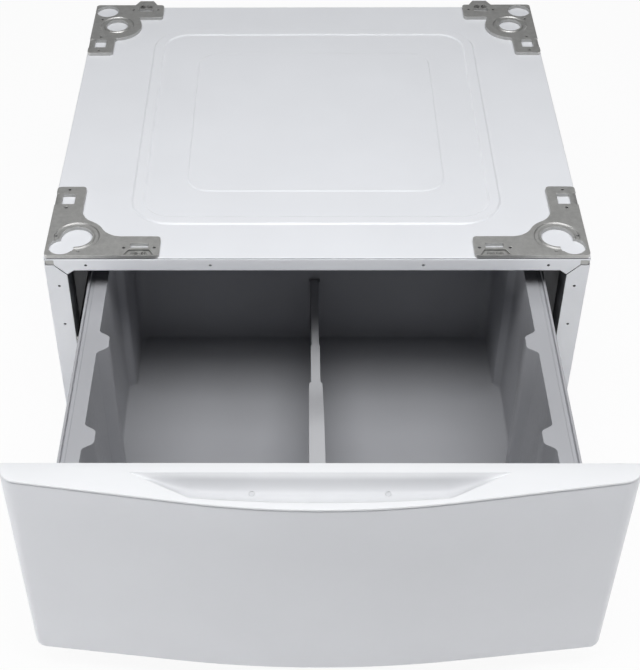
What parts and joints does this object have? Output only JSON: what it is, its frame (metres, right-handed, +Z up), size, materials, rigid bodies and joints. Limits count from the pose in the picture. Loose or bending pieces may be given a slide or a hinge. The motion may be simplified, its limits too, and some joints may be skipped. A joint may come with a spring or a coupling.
{
  "type": "washer pedestal drawer",
  "caption": "Low white steel laundry pedestal with a wide bow-fronted storage drawer pulled out on ball slides, a grey tub with a divider, foot-locating corner plates and levelling feet.",
  "frame": {"origin": "on the floor, at the centre of the rectangle of the four levelling feet", "axes": "+X to the right as seen from the front, +Y towards the back, +Z up; the drawer opens along -Y"},
  "size_m": [0.686, 1.052, 0.3656],
  "materials": {
    "white_enamel": "semi-gloss baked enamel",
    "white_plastic": "satin gloss",
    "grey_plastic": "fine moulded grain",
    "divider_plastic": "fine moulded grain",
    "plug_plastic": "satin",
    "zinc_steel": "zinc plated",
    "bright_steel": "bright",
    "black_rubber": "matt"
  },
  "bodies": {
    "cabinet": {"top_panel": "white_enamel", "side_panel_left": "white_enamel", "side_panel_right": "white_enamel", "back_panel": "white_enamel", "back_panel_screws": "bright_steel", "base_rail_front": "white_enamel", "base_rail_rear": "white_enamel", "base_rail_left": "white_enamel", "base_rail_right": "white_enamel", "foot_brackets": "zinc_steel", "foot_weld_nuts": "zinc_steel", "foot_lock_nuts": "zinc_steel", "front_corner_gussets": "zinc_steel", "corner_plate_front_left": "zinc_steel", "corner_plate_front_right": "zinc_steel", "corner_plate_rear_left": "zinc_steel", "corner_plate_rear_right": "zinc_steel", "corner_plate_screws": "bright_steel", "slide_cabinet_member_left": "bright_steel", "slide_cabinet_member_right": "bright_steel", "slide_rear_bracket_left": "zinc_steel", "slide_rear_bracket_right": "zinc_steel"},
    "drawer": {"slide_drawer_member_left": "bright_steel", "slide_drawer_member_right": "bright_steel", "drawer_rail_left": "zinc_steel", "drawer_rail_right": "zinc_steel", "drawer_tub": "grey_plastic", "drawer_front_screws": "bright_steel", "divider_guides": "grey_plastic", "front_skin": "white_enamel", "front_inner_panel": "white_enamel", "front_top_cap": "white_plastic", "scoop_plugs": "plug_plastic"},
    "ball_cage_left": {"slide_ball_cage_left": "zinc_steel", "slide_balls_left": "bright_steel"},
    "ball_cage_right": {"slide_ball_cage_right": "zinc_steel", "slide_balls_right": "bright_steel"},
    "divider": {"divider": "divider_plastic"},
    "foot_front_left": {"foot_pad_front_left": "black_rubber", "foot_stud_front_left": "zinc_steel"},
    "foot_front_right": {"foot_pad_front_right": "black_rubber", "foot_stud_front_right": "zinc_steel"},
    "foot_rear_left": {"foot_pad_rear_left": "black_rubber", "foot_stud_rear_left": "zinc_steel"},
    "foot_rear_right": {"foot_pad_rear_right": "black_rubber", "foot_stud_rear_right": "zinc_steel"}
  },
  "joints": [
    {"name": "drawer_slide", "type": "slide", "parent": "cabinet", "child": "drawer", "axis": [0, -1, 0], "range_m": [-0.343, 0]},
    {"name": "ball_cage_left_slide", "type": "slide", "parent": "cabinet", "child": "ball_cage_left", "axis": [0, -1, 0], "range_m": [-0.1715, 0]},
    {"name": "ball_cage_right_slide", "type": "slide", "parent": "cabinet", "child": "ball_cage_right", "axis": [0, -1, 0], "range_m": [-0.1715, 0]},
    {"name": "divider_lift", "type": "slide", "parent": "drawer", "child": "divider", "axis": [0, 0, 1], "range_m": [0, 0.06]},
    {"name": "foot_front_left_thread", "type": "slide", "parent": "cabinet", "child": "foot_front_left", "axis": [0, 0, 1], "range_m": [-0.014, 0]},
    {"name": "foot_front_right_thread", "type": "slide", "parent": "cabinet", "child": "foot_front_right", "axis": [0, 0, 1], "range_m": [-0.014, 0]},
    {"name": "foot_rear_left_thread", "type": "slide", "parent": "cabinet", "child": "foot_rear_left", "axis": [0, 0, 1], "range_m": [-0.014, 0]},
    {"name": "foot_rear_right_thread", "type": "slide", "parent": "cabinet", "child": "foot_rear_right", "axis": [0, 0, 1], "range_m": [-0.014, 0]}
  ],
  "couplings": [
    {"joint": "ball_cage_left_slide", "follows": "drawer_slide", "ratio": 0.5},
    {"joint": "ball_cage_right_slide", "follows": "drawer_slide", "ratio": 0.5}
  ]
}
